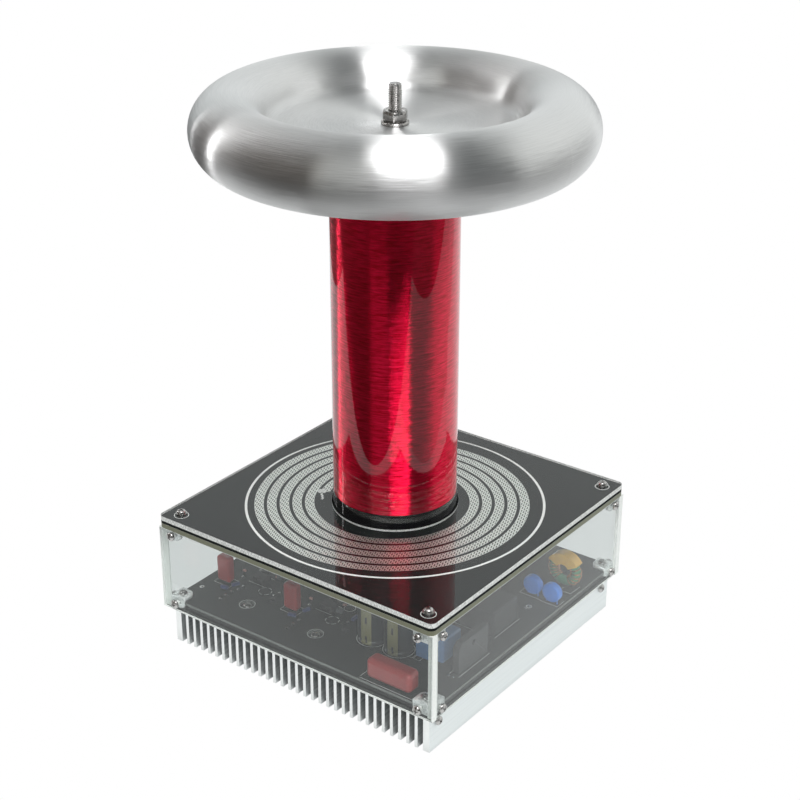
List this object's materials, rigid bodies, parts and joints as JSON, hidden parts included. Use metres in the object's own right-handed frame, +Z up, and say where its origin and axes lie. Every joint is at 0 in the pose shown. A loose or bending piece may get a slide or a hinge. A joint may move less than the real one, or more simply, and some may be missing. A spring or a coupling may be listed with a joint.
{
  "type": "desktop resonant transformer",
  "caption": "Desktop resonant transformer: finned heat sink, clear case with power board, flat printed primary, upright red wound secondary, spun ring-shaped top load on a stud.",
  "frame": {"origin": "on the floor under the axis of the upright coil, bottom centre of the overall box", "axes": "+Z up along the coil's axis; -Y is the front, where the fin ends show; +X is to the right of the front, the side with the rectifier and the choke"},
  "size_m": [0.232, 0.232, 0.3523],
  "materials": {
    "sink_aluminium": "extruded, clear anodised",
    "small_steel": "plated, satin",
    "thermal_pad": "soft, matte",
    "black_moulding": "moulded, matte",
    "board_black": "black solder mask over glass laminate",
    "bracket_metal": "cast, bright plated",
    "clear_acrylic": "clear, polished, frosty cut edges",
    "tinned_track": "tinned copper with a fine printed mesh",
    "tube_plastic": "plain extruded plastic",
    "red_winding": "red enamelled wire under clear varnish",
    "black_band": "glossy black band",
    "spun_aluminium": "spun and brushed round",
    "stainless": "stainless, bright",
    "can_sleeve": "dark shrink sleeve with a pale stripe",
    "red_dip": "dipped, semi-gloss",
    "blue_moulding": "moulded, semi-gloss",
    "blue_dip": "dipped, semi-gloss",
    "green_ferrite": "coated ferrite",
    "copper_wire": "enamelled copper",
    "yellow_tape": "polyester tape",
    "brass_post": "turned, plain",
    "pin_metal": "nickel plated"
  },
  "bodies": {
    "apparatus": {"heat_sink": "sink_aluminium", "heat_sink_side_screws": "small_steel", "thermal_pads": "thermal_pad", "power_transistors": "black_moulding", "transistor_screws": "small_steel", "board_spacers": "small_steel", "main_board": "board_black", "bottom_brackets": "bracket_metal", "bottom_bracket_screws": "small_steel", "front_panel": "clear_acrylic", "back_panel": "clear_acrylic", "left_panel": "clear_acrylic", "right_panel": "clear_acrylic", "panel_screws": "small_steel", "top_brackets": "bracket_metal", "lower_plate": "clear_acrylic", "primary_board": "board_black", "primary_spiral": "tinned_track", "top_cover": "clear_acrylic", "cover_washers": "small_steel", "cover_screws": "small_steel", "coil_tube": "tube_plastic", "coil_winding": "red_winding", "coil_collar": "black_band", "coil_base_plug": "tube_plastic", "coil_base_screws": "small_steel", "coil_top_cap": "black_moulding", "stud": "stainless", "stud_lock_washer": "stainless", "stud_lock_nut": "stainless", "toroid_upper_shell": "spun_aluminium", "toroid_lower_shell": "spun_aluminium", "electrolytic_capacitors": "can_sleeve", "film_capacitors": "red_dip", "large_film_capacitor": "red_dip", "relay": "blue_moulding", "auxiliary_supply": "black_moulding", "bridge_rectifier": "black_moulding", "varistors": "blue_dip", "choke_core": "green_ferrite", "choke_windings": "copper_wire", "choke_tape": "yellow_tape", "driver_chips": "black_moulding", "primary_feed_posts": "brass_post", "feedback_ring": "green_ferrite", "mains_inlet": "black_moulding", "mains_pins": "pin_metal"},
    "washer": {"top_washer": "stainless"},
    "nut": {"top_nut": "stainless"}
  },
  "joints": [
    {"name": "washer_lift", "type": "slide", "parent": "apparatus", "child": "washer", "axis": [0, 0, 1], "range_m": [0, 0.015]},
    {"name": "nut_turn", "type": "hinge", "parent": "washer", "child": "nut", "pos_m": [0, 0, 0.3306], "axis": [0, 0, 1], "range_deg": [0, 4320]}
  ],
  "couplings": [
    {"joint": "washer_lift", "follows": "nut_turn", "m_per_rad": 0.00019894}
  ]
}
